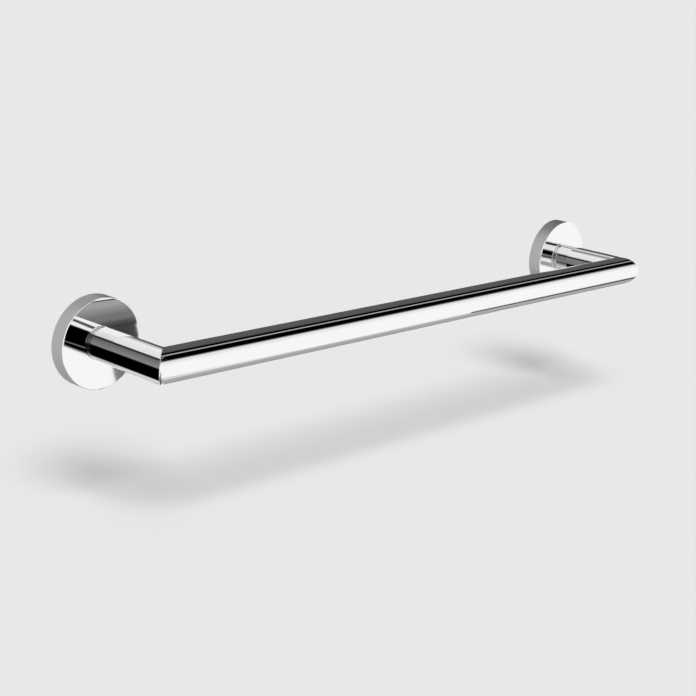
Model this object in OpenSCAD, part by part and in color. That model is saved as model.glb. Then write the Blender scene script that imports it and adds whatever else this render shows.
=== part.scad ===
// Single towel rail: a straight round bar mitred to two arms, each arm standing on a round rosette.
// A rosette hangs on a slotted wall bracket and is locked to it by a grub screw from below.
// Sizes are in millimetres. The wall is the plane y = 0 and the rail stands out from it towards -Y.
// X runs along the bar and Z is up. The origin is on the wall, midway between the arms, at bar height.

/* [Rail] */
// Distance between the axes of the two arms
rail_centres = 438; // [250:1:900]
// Distance from the wall to the axis of the bar
rail_reach = 63.5; // [58:0.5:100]
// Outer diameter of the bar and of the arms
tube_d = 20; // [19:0.5:24]
// Wall thickness of the bar and of the arms
tube_wall = 1.5; // [1.2:0.1:2]
// Radius on the edge of the arm's foot
tube_edge_r = 0.6; // [0.2:0.1:0.8]

/* [Corner keys] */
// Length of each leg of a corner key, from the corner of the tube axes
key_leg = 24; // [18:0.5:26]
// Diameter of the core drilled up each leg
key_core_d = 9; // [6:0.5:10]
// Solid length left between the corner and the cores
key_web = 8; // [6:0.5:12]
// Bevel on the nose of each leg
key_nose = 1.5; // [0.5:0.1:2]

/* [Arm plugs] */
// Depth of the shadow gap between rosette and arm, from the arm's surface to the neck
neck_inset = 0.9; // [0.6:0.1:1.1]
// Height of the shadow gap between rosette and arm
neck_h = 1.5; // [0.8:0.1:3]
// Length of the plug inside the arm
plug_len = 14; // [12:0.5:18]
// Bevel on the inner end of the plug
plug_nose = 1; // [0.3:0.1:1.5]
// Diameter of the spigot that centres the plug in the rosette
spigot_d = 12; // [9:0.5:14]
// Length of the spigot
spigot_len = 2.5; // [1:0.1:2.8]
// Bevel on the end of the spigot
spigot_bevel = 0.3; // [0.1:0.1:0.5]
// Depth of the tapped hole, from the end of the spigot
tapped_depth = 12; // [11:0.5:15]
// Bevel at the mouth of the tapped hole
tapped_bevel = 0.5; // [0.2:0.1:0.8]

/* [Glue grooves] */
// Width of the glue grooves on plugs and keys
groove_w = 2; // [1:0.1:3]
// Depth of the glue grooves
groove_depth = 0.4; // [0.2:0.1:0.8]
// Clearance between a glued piece and the bore of the tube, on the radius
glue_gap = 0.05; // [0.02:0.01:0.15]

/* [Rosettes] */
// Diameter of the rosette
rosette_d = 54; // [52:0.5:70]
// Height of the rosette from the wall
rosette_h = 10.5; // [9.7:0.1:13]
// Thickness of the polished face
face_t = 3; // [2.8:0.1:3.2]
// Thickness of the rim
rim_t = 4; // [3:0.1:4.5]
// Radius on the front edge
front_edge_r = 0.5; // [0.2:0.1:1.5]
// Bevel on the edge that meets the wall
back_bevel = 0.3; // [0.1:0.1:0.8]
// Radius in the inner corner of the cup
cup_corner_r = 0.8; // [0.3:0.1:1.2]
// Bevel at the mouth of the cup
mouth_bevel = 0.6; // [0.2:0.1:1]
// Clearance between spigot and rosette, on the radius
spigot_gap = 0.1; // [0.05:0.01:0.3]

/* [Arm screws] */
// Modelled diameter of the M6 thread, its pitch diameter
arm_thread_d = 5.35; // [5:0.05:5.6]
// Length of the arm screw under its head
arm_screw_len = 12; // [10:0.5:14]
// Bevel on the tip of the arm screw
arm_screw_bevel = 0.6; // [0.3:0.1:0.9]
// Diameter of the button head
arm_head_d = 10.5; // [9:0.5:11]
// Height of the button head
arm_head_h = 3.3; // [2.5:0.1:3.5]
// Width across the flats of the arm screw's socket
arm_socket = 4; // [3:0.5:5]
// Depth of the arm screw's socket
arm_socket_depth = 2; // [1:0.1:2.4]
// Clearance between a screw and its tapped hole, on the radius
thread_gap = 0.05; // [0.02:0.01:0.15]

/* [Washers] */
// Outer diameter of the flat washer
washer_d = 18; // [15:0.5:19]
// Hole of the flat washer
washer_hole_d = 6.4; // [6:0.1:7]
// Thickness of the flat washer
washer_t = 1.6; // [1:0.1:1.7]
// Bevel on the edges of the flat washer
washer_bevel = 0.2; // [0.1:0.05:0.3]
// Outer diameter of the split lock washer
lock_d = 11.8; // [10:0.1:12.5]
// Hole of the split lock washer
lock_hole_d = 6.1; // [5.8:0.1:6.5]
// Thickness of the split lock washer
lock_t = 1.5; // [1:0.1:1.7]
// Width of the split
lock_split = 0.9; // [0.5:0.1:1.5]
// Slant of the split to the washer's axis, in degrees
lock_slant = 18; // [0:1:30]

/* [Wall brackets] */
// Thickness of the wall bracket
bracket_t = 5.5; // [5:0.1:6]
// Clearance between bracket and cup, on the radius
bracket_gap = 0.3; // [0.1:0.05:0.5]
// Hole in the middle that clears the arm screw's washers
bracket_hole_d = 20; // [19.5:0.1:21]
// Bevel on the bracket's front edge, which guides the rosette on
bracket_bevel = 0.5; // [0.2:0.1:0.6]
// Depth of the V-groove round the edge
vee_depth = 1.2; // [0.8:0.1:1.4]
// Width of the flat at the bottom of the V-groove
vee_floor = 0.8; // [0.5:0.1:1]
// Height of the middle of the V-groove above the wall
vee_height = 2.8; // [2.5:0.1:3]
// Distance between the two wall screws of one bracket
screw_pitch = 31.5; // [30:0.5:32]
// Width of the slots for the wall screws
slot_w = 5; // [4:0.1:5.5]
// Length of the slots, end to end
slot_len = 9; // [6:0.5:10]
// Width of the recess that takes the heads of the wall screws
recess_w = 8.8; // [8:0.1:9]
// Depth of the recess
recess_depth = 2.6; // [1:0.1:3]

/* [Grub screws] */
// Modelled diameter of the M4 thread, its pitch diameter
grub_thread_d = 3.55; // [3.2:0.05:3.8]
// Diameter of the flat at the tip of the cone point
grub_tip_d = 0.8; // [0.4:0.1:1]
// Clearance between the tip and the floor of the V-groove
grub_tip_gap = 0.15; // [0.1:0.05:0.3]
// Depth of the screw's outer end below the rim
grub_sink = 0.4; // [0.2:0.1:1]
// Width across the flats of the grub screw's socket
grub_socket = 2; // [1.5:0.1:2.2]
// Depth of the grub screw's socket
grub_socket_depth = 2; // [1:0.1:2.5]
// Bevel at the mouth of the grub screw's hole
grub_mouth_bevel = 0.4; // [0.2:0.1:0.8]

/* [Hidden] */
$fn = 96;
// Overshoot of a cutting shape past the face that it cuts
over = 1;
tube_r = tube_d / 2;
bore_r = tube_r - tube_wall;
glued_r = bore_r - glue_gap;
foot_h = rosette_h + neck_h;
rosette_r = rosette_d / 2;
cup_r = rosette_r - rim_t;
cup_h = rosette_h - face_t;
bracket_r = cup_r - bracket_gap;
// The flat washer lies on the floor of the cup, the lock washer on it, and the screw's head on that
washer_low = cup_h - washer_t;
lock_low = washer_low - lock_t;
// The cone point ends just short of the floor of the V-groove
grub_tip_r = bracket_r - vee_depth + grub_tip_gap;
grub_end_r = rosette_r - grub_sink;
// Room beyond a mitre plane that the cutting block has to cover
mitre_room = 4 * tube_d;
// Half the angle at the point of a twist drill, in degrees
drill_half_angle = 59;
// Width of the flat left round the socket on the crown of the arm screw's head
crown_land = 0.6;

// Places a shape on an arm's axis: +Z stands out of the wall, +Y is up, -1 is the left arm and 1 the right
module on_post(side) {
    translate([side * rail_centres / 2, 0, 0])
        rotate([90, 0, 0])
            children();
}

// Places a shape at the corner of bar and arm, drawn for the left: +X along the bar, +Y to the wall
module on_corner(side) {
    translate([side * rail_centres / 2, -rail_reach, 0])
        mirror([side > 0 ? 1 : 0, 0, 0])
            children();
}

// Everything on the wall side of the left corner's mitre plane
module wall_side_of_mitre() {
    rotate([0, 0, 45])
        translate([-mitre_room / 2, 0, -mitre_room / 2])
            cube(mitre_room);
}

// Everything on the bar side of the left corner's mitre plane
module bar_side_of_mitre() {
    rotate([0, 0, 45])
        translate([-mitre_room / 2, -mitre_room, -mitre_room / 2])
            cube(mitre_room);
}

// Takes the corner off a section that fills the quadrant x < 0, y > 0, and leaves a radius
module round_corner(r) {
    difference() {
        translate([-r, -over])
            square([r + over, r + over]);
        translate([-r, r])
            circle(r = r);
    }
}

// Takes the corner off a section that fills the quadrant x < 0, y > 0, and leaves a bevel
module bevel_corner(size) {
    polygon([[-size - over, -over], [over, size + over], [over, -over]]);
}

// Half section of a ring: radii from inner to outer, heights from low to high
module ring_section(inner, outer, low, high) {
    translate([inner, low])
        square([outer - inner, high - low]);
}

// Half section of a glue groove in a round piece of the radius glued_r
module glue_groove_section(low) {
    ring_section(glued_r - groove_depth, glued_r + over, low, low + groove_w);
}

// Round-ended slot along X, cut from low to high
module slot(width, length, low, high) {
    translate([0, 0, low])
        linear_extrude(high - low) {
            for (end = [-1, 1])
                translate([end * (length - width) / 2, 0])
                    circle(d = width);
            square([length - width, width], center = true);
        }
}

// Hexagon socket, cut upwards from the height zero
module hex_socket(across_flats, depth) {
    translate([0, 0, -over])
        cylinder(d = across_flats / cos(30), h = depth + over, $fn = 6);
}

module rail_bar() {
    color("gainsboro")
        difference() {
            translate([0, -rail_reach, 0])
                rotate([0, 90, 0])
                    difference() {
                        cylinder(r = tube_r, h = rail_centres + 2 * tube_d, center = true);
                        cylinder(r = bore_r, h = rail_centres + 3 * tube_d, center = true);
                    }
            for (side = [-1, 1])
                on_corner(side)
                    wall_side_of_mitre();
        }
}

module arm(side) {
    color("gainsboro")
        difference() {
            on_post(side)
                rotate_extrude()
                    difference() {
                        ring_section(bore_r, tube_r, foot_h, rail_reach + tube_d);
                        translate([tube_r, foot_h])
                            round_corner(tube_edge_r);
                    }
            on_corner(side)
                bar_side_of_mitre();
        }
}

// One leg of a corner key, from the corner of the tube axes along +Z
module key_leg_solid() {
    rotate_extrude()
        difference() {
            ring_section(0, glued_r, 0, key_leg);
            ring_section(-over, key_core_d / 2, key_web, key_leg + over);
            translate([glued_r, key_leg])
                mirror([0, 1])
                    bevel_corner(key_nose);
            glue_groove_section(key_leg - key_nose - 2 * groove_w);
            glue_groove_section(key_leg - key_nose - 4 * groove_w);
        }
}

module corner_key(side) {
    color("darkgoldenrod")
        on_corner(side) {
            sphere(r = glued_r);
            rotate([0, 90, 0])
                key_leg_solid();
            rotate([-90, 0, 0])
                key_leg_solid();
        }
}

module arm_plug(side) {
    spigot_low = rosette_h - spigot_len;
    plug_high = foot_h + plug_len;
    tap_r = arm_thread_d / 2;
    drill_point = tap_r / tan(drill_half_angle);
    color("darkgoldenrod")
        on_post(side)
            rotate_extrude()
                difference() {
                    union() {
                        ring_section(0, spigot_d / 2, spigot_low, foot_h);
                        ring_section(0, tube_r - neck_inset, rosette_h, foot_h);
                        ring_section(0, glued_r, rosette_h, plug_high);
                    }
                    translate([glued_r, plug_high])
                        mirror([0, 1])
                            bevel_corner(plug_nose);
                    translate([spigot_d / 2, spigot_low])
                        bevel_corner(spigot_bevel);
                    translate([tap_r, spigot_low])
                        mirror([1, 0])
                            bevel_corner(tapped_bevel);
                    glue_groove_section(foot_h + groove_w);
                    glue_groove_section(foot_h + 3 * groove_w);
                    ring_section(-over, tap_r, spigot_low - over, spigot_low + tapped_depth);
                    polygon([
                        [-over, spigot_low + tapped_depth - over],
                        [tap_r, spigot_low + tapped_depth - over],
                        [tap_r, spigot_low + tapped_depth],
                        [0, spigot_low + tapped_depth + drill_point],
                        [-over, spigot_low + tapped_depth + drill_point]
                    ]);
                }
}

module rosette(side) {
    grub_hole_r = grub_thread_d / 2;
    color("silver")
        on_post(side)
            difference() {
                rotate_extrude()
                    difference() {
                        ring_section(spigot_d / 2 + spigot_gap, rosette_r, 0, rosette_h);
                        difference() {
                            ring_section(-over, cup_r, -over, cup_h);
                            translate([cup_r, cup_h])
                                mirror([0, 1])
                                    round_corner(cup_corner_r);
                        }
                        translate([rosette_r, rosette_h])
                            mirror([0, 1])
                                round_corner(front_edge_r);
                        translate([rosette_r, 0])
                            bevel_corner(back_bevel);
                        translate([cup_r, 0])
                            mirror([1, 0])
                                bevel_corner(mouth_bevel);
                    }
                translate([0, -rosette_r, vee_height])
                    rotate([-90, 0, 0]) {
                        translate([0, 0, -over])
                            cylinder(r = grub_hole_r, h = rim_t + 2 * over);
                        translate([0, 0, -over])
                            cylinder(r1 = grub_hole_r + grub_mouth_bevel + over, r2 = grub_hole_r,
                                h = grub_mouth_bevel + over);
                    }
            }
}

module flat_washer(side) {
    color("lightgrey")
        on_post(side)
            rotate_extrude()
                difference() {
                    ring_section(washer_hole_d / 2, washer_d / 2, washer_low, cup_h);
                    translate([washer_d / 2, washer_low])
                        bevel_corner(washer_bevel);
                    translate([washer_d / 2, cup_h])
                        mirror([0, 1])
                            bevel_corner(washer_bevel);
                }
}

module lock_washer(side) {
    color("dimgrey")
        on_post(side)
            difference() {
                rotate_extrude()
                    ring_section(lock_hole_d / 2, lock_d / 2, lock_low, washer_low);
                translate([0, 0, lock_low + lock_t / 2])
                    rotate([lock_slant, 0, 0])
                        translate([0, -lock_split / 2, -lock_t])
                            cube([lock_d, lock_split, 2 * lock_t]);
            }
}

module arm_screw(side) {
    // The button's dome is an arc through its rim and the edge of its crown
    crown_r = arm_socket / cos(30) / 2 + crown_land;
    shank_r = arm_thread_d / 2 - thread_gap;
    shank_high = lock_low + arm_screw_len;
    color("grey")
        on_post(side)
            difference() {
                union() {
                    rotate_extrude()
                        difference() {
                            ring_section(0, shank_r, lock_low - over, shank_high);
                            translate([shank_r, shank_high])
                                mirror([0, 1])
                                    bevel_corner(arm_screw_bevel);
                        }
                    rotate_extrude()
                        button_section(arm_head_d / 2, crown_r, lock_low - arm_head_h, lock_low);
                }
                translate([0, 0, lock_low - arm_head_h])
                    hex_socket(arm_socket, arm_socket_depth);
            }
}

// Half section of a button head that narrows downwards in one arc from the rim to the crown
module button_section(rim_r, crown_r, low, high) {
    width = rim_r - crown_r;
    height = high - low;
    dome_r = (width * width + height * height) / (2 * width);
    intersection() {
        ring_section(0, rim_r, low, high);
        union() {
            ring_section(0, crown_r, low, high);
            translate([rim_r - dome_r, high])
                circle(r = dome_r);
        }
    }
}

module wall_bracket(side) {
    color("lightsteelblue")
        on_post(side)
            difference() {
                rotate_extrude()
                    difference() {
                        ring_section(bracket_hole_d / 2, bracket_r, 0, bracket_t);
                        translate([bracket_r, bracket_t])
                            mirror([0, 1])
                                bevel_corner(bracket_bevel);
                        translate([bracket_r, vee_height])
                            vee_section();
                    }
                for (end = [-1, 1])
                    translate([0, end * screw_pitch / 2, 0]) {
                        slot(slot_w, slot_len, -over, bracket_t + over);
                        slot(recess_w, slot_len - slot_w + recess_w, bracket_t - recess_depth, bracket_t + over);
                    }
            }
}

// Section of the V-groove, with its mouth on x = 0 and its floor at x = -vee_depth
module vee_section() {
    half_floor = vee_floor / 2;
    polygon([
        [-vee_depth, -half_floor],
        [over, -half_floor - vee_depth - over],
        [over, half_floor + vee_depth + over],
        [-vee_depth, half_floor]
    ]);
}

module grub_screw(side) {
    shank_r = grub_thread_d / 2 - thread_gap;
    tip_r = grub_tip_d / 2;
    cone_h = shank_r - tip_r;
    color("dimgrey")
        on_post(side)
            translate([0, -grub_end_r, vee_height])
                rotate([-90, 0, 0])
                    difference() {
                        rotate_extrude()
                            polygon([
                                [0, 0],
                                [shank_r, 0],
                                [shank_r, grub_end_r - grub_tip_r - cone_h],
                                [tip_r, grub_end_r - grub_tip_r],
                                [0, grub_end_r - grub_tip_r]
                            ]);
                        hex_socket(grub_socket, grub_socket_depth);
                    }
}

rail_bar();
arm(-1);  // left_arm
arm(1);  // right_arm
corner_key(-1);  // left_corner_key
corner_key(1);  // right_corner_key
arm_plug(-1);  // left_arm_plug
arm_plug(1);  // right_arm_plug
rosette(-1);  // left_rosette
rosette(1);  // right_rosette
flat_washer(-1);  // left_flat_washer
flat_washer(1);  // right_flat_washer
lock_washer(-1);  // left_lock_washer
lock_washer(1);  // right_lock_washer
arm_screw(-1);  // left_arm_screw
arm_screw(1);  // right_arm_screw
wall_bracket(-1);  // left_wall_bracket
wall_bracket(1);  // right_wall_bracket
grub_screw(-1);  // left_grub_screw
grub_screw(1);  // right_grub_screw
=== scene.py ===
"""Towel rail: a round bar mitred to two arms, each on a round rosette that hangs on a wall bracket.

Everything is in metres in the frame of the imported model: the wall is the plane Y = 0, the rail stands
out towards -Y, X runs along the bar and Z is up.
"""
import math

import bmesh
import bpy
import numpy as np
from bpy.props import FloatProperty, FloatVectorProperty, PointerProperty
from mathutils import Matrix, Vector


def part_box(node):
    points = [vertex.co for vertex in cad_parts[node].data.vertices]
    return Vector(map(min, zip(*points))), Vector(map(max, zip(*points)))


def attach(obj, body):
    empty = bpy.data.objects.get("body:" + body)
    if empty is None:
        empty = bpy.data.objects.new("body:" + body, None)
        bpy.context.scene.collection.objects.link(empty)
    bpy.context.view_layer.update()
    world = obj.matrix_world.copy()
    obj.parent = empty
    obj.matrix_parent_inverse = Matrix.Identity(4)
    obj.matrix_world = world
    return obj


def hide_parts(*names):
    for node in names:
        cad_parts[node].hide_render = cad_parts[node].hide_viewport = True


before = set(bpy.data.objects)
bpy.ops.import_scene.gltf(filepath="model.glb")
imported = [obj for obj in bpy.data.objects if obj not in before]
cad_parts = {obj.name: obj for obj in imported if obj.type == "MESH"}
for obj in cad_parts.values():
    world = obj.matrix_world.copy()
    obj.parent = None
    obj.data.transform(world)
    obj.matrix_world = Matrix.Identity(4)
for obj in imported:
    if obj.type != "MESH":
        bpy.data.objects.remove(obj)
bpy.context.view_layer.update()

bl_info = {
    "name": "Towel Rail",
    "version": (1, 0, 0),
    "blender": (4, 5, 0),
    "location": "View3D > Sidebar > Towel Rail",
    "description": "Builds a mitred towel rail on two round rosettes, with the fixings behind them",
    "category": "Add Mesh",
}

MM = 0.001
SIDES = {"left": -1, "right": 1}
TAU = 2 * math.pi
# Columns round the large turned pieces, the washers and the screws. Those of the screws are a multiple
# of twelve, so that each corner and the middle of each flat of a hexagon has a column
TURN_STEPS = 240
WASHER_STEPS = 120
SCREW_STEPS = 60
# Steps in a quarter of a circle on a rounded edge, on the dome of a button head and in a thread's turn
EDGE_STEPS = 6
DOME_STEPS = 12
THREAD_STEPS = 12
# Distance of the rows that keep a flat beside a rounded edge flat to the light
SUPPORT = 0.03 * MM
# Distance between two rows that have to stay apart but look like one
HAIR = 0.001 * MM
# An edge is sharp above the one angle, and faces under the other are one flat
SHARP_ANGLE = math.radians(32)
FLAT_ANGLE = math.radians(0.5)
# Half the angle at the point of a twist drill
DRILL_HALF_ANGLE = math.radians(59)
# Share of a screw's shank, from the axis, that its thread leaves alone
THREAD_CORE = 0.98


def span(node, axis):
    """Lowest and highest coordinate of a node of the frame along one axis."""
    low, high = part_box(node)
    return low[axis], high[axis]


def length_of(node, axis):
    """Length of a node of the frame along one axis."""
    low, high = span(node, axis)
    return high - low


def heights(node):
    """Lowest and highest distance of a node of the frame from the wall."""
    low, high = span(node, 1)
    return -high, -low


TUBE_RADIUS = length_of("rail_bar", 2) / 2
REACH = -sum(span("rail_bar", 1)) / 2
HALF_CENTRES = span("rail_bar", 0)[1] - TUBE_RADIUS


def length_property(name, description, default):
    return FloatProperty(name=name, description=description, default=default, unit="LENGTH", precision=5)


def colour_property(name, description, default):
    return FloatVectorProperty(name=name, description=description, default=default, subtype="COLOR",
                               size=3, min=0, max=1)


def share_property(name, description, default):
    return FloatProperty(name=name, description=description, default=default, subtype="FACTOR",
                         min=0, max=1)


class RailSizes(bpy.types.PropertyGroup):
    """Sizes of the bar and of the arms"""
    tube_radius: length_property("Tube radius", "Outer radius of bar and arms", TUBE_RADIUS)
    tube_wall: length_property("Tube wall", "Wall thickness of bar and arms", 1.5 * MM)
    reach: length_property("Reach", "Distance from the wall to the axis of the bar", REACH)
    half_centres: length_property("Half centres", "Distance from the middle to an arm's axis", HALF_CENTRES)
    foot_height: length_property("Foot height", "Distance from the wall to the arm's foot",
                                 heights("left_arm")[0])
    foot_radius: length_property("Foot radius", "Radius on the edge of an arm's foot", 0.6 * MM)
    ridge_radius: length_property("Ridge radius", "Radius of the polished ridge of a mitre", 0.3 * MM)
    valley_radius: length_property("Valley radius", "Radius inside the bend", 0.12 * MM)


class RosetteSizes(bpy.types.PropertyGroup):
    """Sizes of the rosettes and of the plugs that the arms stand on"""
    radius: length_property("Radius", "Outer radius", length_of("left_rosette", 2) / 2)
    height: length_property("Height", "Height from the wall", length_of("left_rosette", 1))
    face: length_property("Face", "Thickness of the face", 3 * MM)
    rim: length_property("Rim", "Thickness of the rim", 4 * MM)
    front_edge: length_property("Front edge", "Radius on the front edge", 0.5 * MM)
    back_edge: length_property("Back edge", "Radius on the edge that meets the wall", 0.3 * MM)
    inner_corner: length_property("Inner corner", "Radius in the corner of the cup", 0.8 * MM)
    mouth: length_property("Mouth", "Radius at the mouth of the cup", 0.6 * MM)
    neck_inset: length_property("Neck inset", "Depth of the shadow gap under an arm", 0.9 * MM)
    spigot_radius: length_property("Spigot radius", "Radius of the plug's spigot", 6 * MM)
    spigot_length: length_property("Spigot length", "Length of the plug's spigot", 2.5 * MM)
    spigot_edge: length_property("Spigot edge", "Radius on the end of the spigot", 0.3 * MM)
    spigot_gap: length_property("Spigot gap", "Clearance between spigot and rosette", 0.1 * MM)
    glue_gap: length_property("Glue gap", "Clearance between plug and tube", 0.05 * MM)
    groove_width: length_property("Groove width", "Width of a glue groove", 2 * MM)
    groove_depth: length_property("Groove depth", "Depth of a glue groove", 0.4 * MM)
    tapped_radius: length_property("Tapped radius", "Radius of the plug's tapped hole", 2.675 * MM)
    tapped_depth: length_property("Tapped depth", "Depth of the plug's tapped hole", 12 * MM)
    tapped_edge: length_property("Tapped edge", "Radius at the mouth of the tapped hole", 0.5 * MM)


class FixingSizes(bpy.types.PropertyGroup):
    """Sizes of screws and washers"""
    arm_pitch: length_property("Arm screw pitch", "Pitch of the arm screw's thread", 1 * MM)
    arm_shank: length_property("Arm screw shank", "Pitch radius of the arm screw", 2.625 * MM)
    arm_head: length_property("Arm screw head", "Height of the button head", 3.3 * MM)
    arm_socket: length_property("Arm screw socket", "Width across flats of the socket", 4 * MM)
    arm_socket_depth: length_property("Arm socket depth", "Depth of the socket", 2 * MM)
    grub_pitch: length_property("Grub screw pitch", "Pitch of the grub screw's thread", 0.7 * MM)
    grub_shank: length_property("Grub screw shank", "Pitch radius of the grub screw", 1.725 * MM)
    grub_tip: length_property("Grub screw tip", "Radius of the flat on the cone point", 0.4 * MM)
    grub_socket: length_property("Grub screw socket", "Width across flats of the socket", 2 * MM)
    grub_socket_depth: length_property("Grub socket depth", "Depth of the socket", 2 * MM)
    grub_hole: length_property("Grub screw hole", "Radius of the hole in the rosette's rim", 1.775 * MM)
    grub_height: length_property("Grub screw height", "Height of the grub screw from the wall", 2.8 * MM)
    washer_hole: length_property("Washer hole", "Radius of the flat washer's hole", 3.2 * MM)
    lock_hole: length_property("Lock washer hole", "Radius of the lock washer's hole", 3.05 * MM)
    lock_split: length_property("Lock washer split", "Width of the split", 0.9 * MM)
    lock_slant: FloatProperty(name="Lock washer slant", description="Slant of the split to the axis",
                              default=math.radians(18), subtype="ANGLE")


class FinishColours(bpy.types.PropertyGroup):
    """Colours of the finishes"""
    chrome: colour_property("Chrome", "Polished plating", (0.93, 0.935, 0.935))
    satin: colour_property("Satin", "Satin plating on the rosettes' rims", (0.52, 0.52, 0.52))
    inside: colour_property("Inside", "Thin dull plating inside the cups", (0.50, 0.50, 0.49))
    plug: colour_property("Plug", "Plating on the turned plugs", (0.744, 0.748, 0.748))
    brass: colour_property("Brass", "Bare turned brass", (0.60, 0.41, 0.17))
    screw_zinc: colour_property("Screw zinc", "Zinc on arm screws and flat washers", (0.58, 0.59, 0.61))
    spring: colour_property("Spring steel", "Oiled spring steel", (0.19, 0.19, 0.20))
    zinc: colour_property("Zinc", "Bright zinc plating on the brackets", (0.58, 0.61, 0.64))
    stainless: colour_property("Stainless", "Plain stainless steel of the grub screws", (0.50, 0.50, 0.51))


class StageSettings(bpy.types.PropertyGroup):
    """Floor, light and the radii of the flags that the metal mirrors"""
    floor_level: length_property("Floor level", "Height of the floor", -0.10)
    floor: colour_property("Floor", "Colour of the floor", (0.80, 0.80, 0.80))
    backdrop: share_property("Backdrop", "Tone of the background past the floor", 0.81)
    daylight: share_property("Daylight", "Strength of the even light on the object", 0.5)
    key_strength: FloatProperty(name="Key light", description="Strength of the soft key light", default=2.0)
    far: length_property("Far flags", "Radius of the flags that stand far out in the room", 6.0)
    near: length_property("Near flags", "Radius of the flags round the arms, seen in two mirrors", 0.12)


class Socket:
    """An output socket of a node tree. Maths on it adds the Math nodes that the expression says."""

    def __init__(self, board, socket):
        self.board = board
        self.socket = socket

    def __add__(self, other):
        return self.board.maths("ADD", self, other)

    def __radd__(self, other):
        return self.board.maths("ADD", other, self)

    def __sub__(self, other):
        return self.board.maths("SUBTRACT", self, other)

    def __rsub__(self, other):
        return self.board.maths("SUBTRACT", other, self)

    def __mul__(self, other):
        return self.board.maths("MULTIPLY", self, other)

    def __rmul__(self, other):
        return self.board.maths("MULTIPLY", other, self)

    def __truediv__(self, other):
        return self.board.maths("DIVIDE", self, other)

    def __abs__(self):
        return self.board.maths("ABSOLUTE", self)

    def clamped(self):
        """The value, kept between 0 and 1."""
        return self.board.maths("MINIMUM", self.board.maths("MAXIMUM", self, 0), 1)


class Board:
    """A node tree with one method that adds any node."""

    def __init__(self, tree):
        self.tree = tree

    def add(self, kind, settings=None, inputs=None, output=0):
        """Adds a node, sets it, fills its inputs by name, identifier or number, and returns one output."""
        node = self.tree.nodes.new(kind)
        for key, value in (settings or {}).items():
            setattr(node, key, value)
        for key, value in (inputs or {}).items():
            self.fill(node, key, value)
        return Socket(self, self.find(node.outputs, output)) if node.outputs else None

    def maths(self, operation, *values):
        """A Math node on numbers and sockets."""
        return self.add("ShaderNodeMath", {"operation": operation}, dict(enumerate(values)))

    def split(self, vector):
        """The three coordinates of a vector."""
        node = self.tree.nodes.new("ShaderNodeSeparateXYZ")
        self.fill(node, 0, vector)
        return [Socket(self, socket) for socket in node.outputs]

    @staticmethod
    def find(sockets, key):
        """A socket by its identifier, its name or its number."""
        return next((socket for socket in sockets if socket.identifier == key), None) or sockets[key]

    def fill(self, node, key, value):
        """Links an input of a node to a socket, or sets its value."""
        socket = self.find(node.inputs, key)
        if isinstance(value, Socket):
            self.tree.links.new(value.socket, socket)
        else:
            socket.default_value = value


class Finish(Board):
    """The node tree of one material."""

    def __init__(self, name):
        self.material = bpy.data.materials.new(name)
        self.material.use_nodes = True
        super().__init__(self.material.node_tree)
        self.tree.nodes.clear()
        self.place = self.add("ShaderNodeTexCoord", output="Object")

    def noise(self, scale, detail, place=None):
        """Noise of so many waves to the metre, from 0 to 1."""
        return self.add("ShaderNodeTexNoise", {}, {
            "Vector": place or self.place, "Scale": scale, "Detail": detail})

    def stretched(self, scale):
        """Object coordinates, multiplied by a scale along each axis."""
        return self.add("ShaderNodeVectorMath", {"operation": "MULTIPLY"}, {0: self.place, 1: scale})

    def blend(self, share, low, high):
        """A colour between two, by a share."""
        return self.add("ShaderNodeMix", {"data_type": "RGBA"}, {
            "Factor_Float": share, "A_Color": (*low, 1), "B_Color": (*high, 1)}, output="Result_Color")

    def bump(self, height, depth):
        """A normal for a height from 0 to 1 that is so deep."""
        return self.add("ShaderNodeBump", {}, {"Height": height, "Distance": depth, "Strength": 1.0})

    def done(self, inputs):
        """The material, with its surface made from the inputs of the Principled shader."""
        surface = self.add("ShaderNodeBsdfPrincipled", {}, inputs)
        self.add("ShaderNodeOutputMaterial", {}, {"Surface": surface})
        return self.material


def scaled(colour, factor):
    """A colour made lighter or darker."""
    return tuple(min(1, channel * factor) for channel in colour)


def polished_chrome(name, colour, roughness):
    """Mirror plating with the faint haze and waves that buffing leaves."""
    finish = Finish(name)
    haze = finish.noise(45, 4)
    waves = finish.noise(90, 1)
    return finish.done({
        "Base Color": finish.blend(haze, scaled(colour, 0.97), colour),
        "Metallic": 1.0,
        "Roughness": haze * 0.02 + (roughness - 0.01),
        "Normal": finish.bump(waves, 0.002 * MM)})


def satin_chrome(name, colour, roughness):
    """Satin plating, brushed round the rim, so the fine lines run in planes parallel to the wall."""
    finish = Finish(name)
    lines = finish.noise(1, 3, finish.stretched((120, 9000, 120)))
    cloud = finish.noise(160, 3)
    return finish.done({
        "Base Color": finish.blend(lines * 0.6 + cloud * 0.4, scaled(colour, 0.88), scaled(colour, 1.10)),
        "Metallic": 1.0,
        "Roughness": lines * 0.10 + cloud * 0.06 + (roughness - 0.08),
        "Normal": finish.bump(lines, 0.006 * MM)})


def turned_metal(name, colour, roughness, tool_pitch):
    """Turned metal that keeps its tool marks, with a slightly uneven tone."""
    finish = Finish(name)
    marks = finish.noise(1, 2, finish.stretched((60, 1 / tool_pitch, 60)))
    tone = finish.noise(240, 4)
    return finish.done({
        "Base Color": finish.blend(tone, scaled(colour, 0.82), scaled(colour, 1.12)),
        "Metallic": 1.0,
        "Roughness": tone * 0.14 + (roughness - 0.07),
        "Normal": finish.bump(marks, 0.008 * MM)})


def plated_steel(name, colour, roughness):
    """Barrel-plated or oiled steel: clouded, with fine pits."""
    finish = Finish(name)
    cloud = finish.noise(130, 4)
    grain = finish.noise(3200, 2)
    return finish.done({
        "Base Color": finish.blend(cloud, scaled(colour, 0.75), scaled(colour, 1.15)),
        "Metallic": 1.0,
        "Roughness": cloud * 0.18 + grain * 0.06 + (roughness - 0.12),
        "Normal": finish.bump(grain, 0.010 * MM)})


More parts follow.
